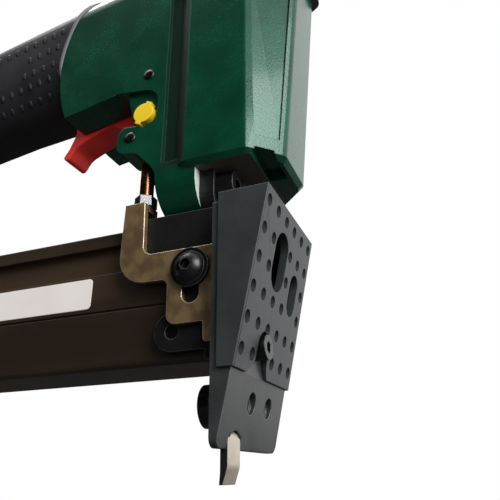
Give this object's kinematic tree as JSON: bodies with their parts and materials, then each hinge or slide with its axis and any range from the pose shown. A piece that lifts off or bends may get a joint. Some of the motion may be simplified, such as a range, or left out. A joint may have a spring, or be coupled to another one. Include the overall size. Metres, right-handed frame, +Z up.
{
  "type": "glazing brad nailer",
  "caption": "Pneumatic glazing brad nailer with a padded nose that rests on the glass, contact-tip safety, red trigger, rubber-gripped handle and long straight magazine.",
  "frame": {"origin": "on the drive axis at the nose's lower edge, where the brad leaves the tool", "axes": "+X to the front, +Y to the tool's left, +Z up along the drive axis"},
  "size_m": [0.2545, 0.0454, 0.2017],
  "materials": {
    "green_paint": "dark green paint on a die casting, lightly textured",
    "grip_rubber": "black moulded rubber with small raised bumps",
    "black_casting": "black paint on a casting",
    "grey_casting": "dark grey cast alloy",
    "seal_rubber": "plain black seal rubber",
    "black_plastic": "black moulded plastic",
    "sleeve_alloy": "turned alloy",
    "steel": "bright zinc-plated steel",
    "red_plastic": "red moulded plastic",
    "yellow_plastic": "yellow moulded plastic",
    "brass": "brass-coloured metal",
    "black_steel": "blackened steel",
    "nose_steel": "blackened steel, worn satin",
    "pad_rubber": "slate black moulded rubber with a grid of dots",
    "black_screws": "black oxide screws",
    "yellow_zinc": "yellow zinc-plated sheet steel",
    "tip_steel": "bare pale steel",
    "bronze_alloy": "dark bronze anodised extrusion"
  },
  "bodies": {
    "tool": {"main_housing": "green_paint", "handle_grip": "grip_rubber", "handle_end_cap": "black_casting", "end_cap_screws": "steel", "air_inlet_bush": "steel", "cylinder_cap": "grey_casting", "cap_gasket": "seal_rubber", "cap_screws": "black_screws", "deflector_screw": "black_screws", "cylinder_sleeve": "sleeve_alloy", "piston_bumper": "seal_rubber", "trigger_pin": "steel", "valve_pin": "steel", "trigger_valve_body": "brass", "valve_spring": "steel", "nose_body": "black_steel", "nose_front_plate": "nose_steel", "glass_pad": "pad_rubber", "plate_screws": "black_screws", "nose_rear_screws": "black_screws", "nose_flange_screws": "black_screws", "bracket_screw": "black_screws", "safety_spring": "brass", "magazine_body": "bronze_alloy", "magazine_end_cap": "black_plastic", "magazine_screws": "black_screws", "rear_bracket": "black_casting", "rear_bracket_screws": "steel"},
    "trigger": {"trigger": "red_plastic"},
    "valve": {"valve_stem": "steel"},
    "selector": {"mode_selector": "yellow_plastic"},
    "safety": {"safety_bracket": "yellow_zinc", "contact_tip": "tip_steel", "safety_stud": "brass", "safety_nut": "steel"},
    "drive": {"piston": "sleeve_alloy", "piston_ring": "seal_rubber", "driver_blade": "steel"},
    "pusher": {"brad_pusher": "steel", "pusher_spring": "steel"},
    "deflector": {"exhaust_deflector": "black_plastic"}
  },
  "joints": [
    {"name": "trigger_pull", "type": "hinge", "parent": "tool", "child": "trigger", "pos_m": [-0.0322, 0, 0.0983], "axis": [0, 1, 0], "range_deg": [0, 10], "stiffness_Nm_per_rad": 0.6},
    {"name": "valve_lift", "type": "slide", "parent": "tool", "child": "valve", "axis": [0, 0, 1], "range_m": [0, 0.0043], "deforming": ["valve_spring"]},
    {"name": "selector_turn", "type": "hinge", "parent": "tool", "child": "selector", "pos_m": [-0.0273, -0.017, 0.1066], "axis": [0, -1, 0], "range_deg": [0, 90]},
    {"name": "safety_slide", "type": "slide", "parent": "tool", "child": "safety", "axis": [0, 0, 1], "range_m": [0, 0.007], "stiffness_N_per_m": 500, "deforming": ["safety_spring"]},
    {"name": "piston_drive", "type": "slide", "parent": "tool", "child": "drive", "axis": [0, 0, -1], "range_m": [0, 0.06]},
    {"name": "pusher_slide", "type": "slide", "parent": "tool", "child": "pusher", "axis": [-1, 0, 0], "range_m": [0, 0.14]},
    {"name": "deflector_turn", "type": "hinge", "parent": "tool", "child": "deflector", "pos_m": [0, 0, 0.1817], "axis": [0, 0, 1], "continuous": true}
  ],
  "couplings": [
    {"joint": "valve_lift", "follows": "trigger_pull", "m_per_rad": 0.0245}
  ]
}
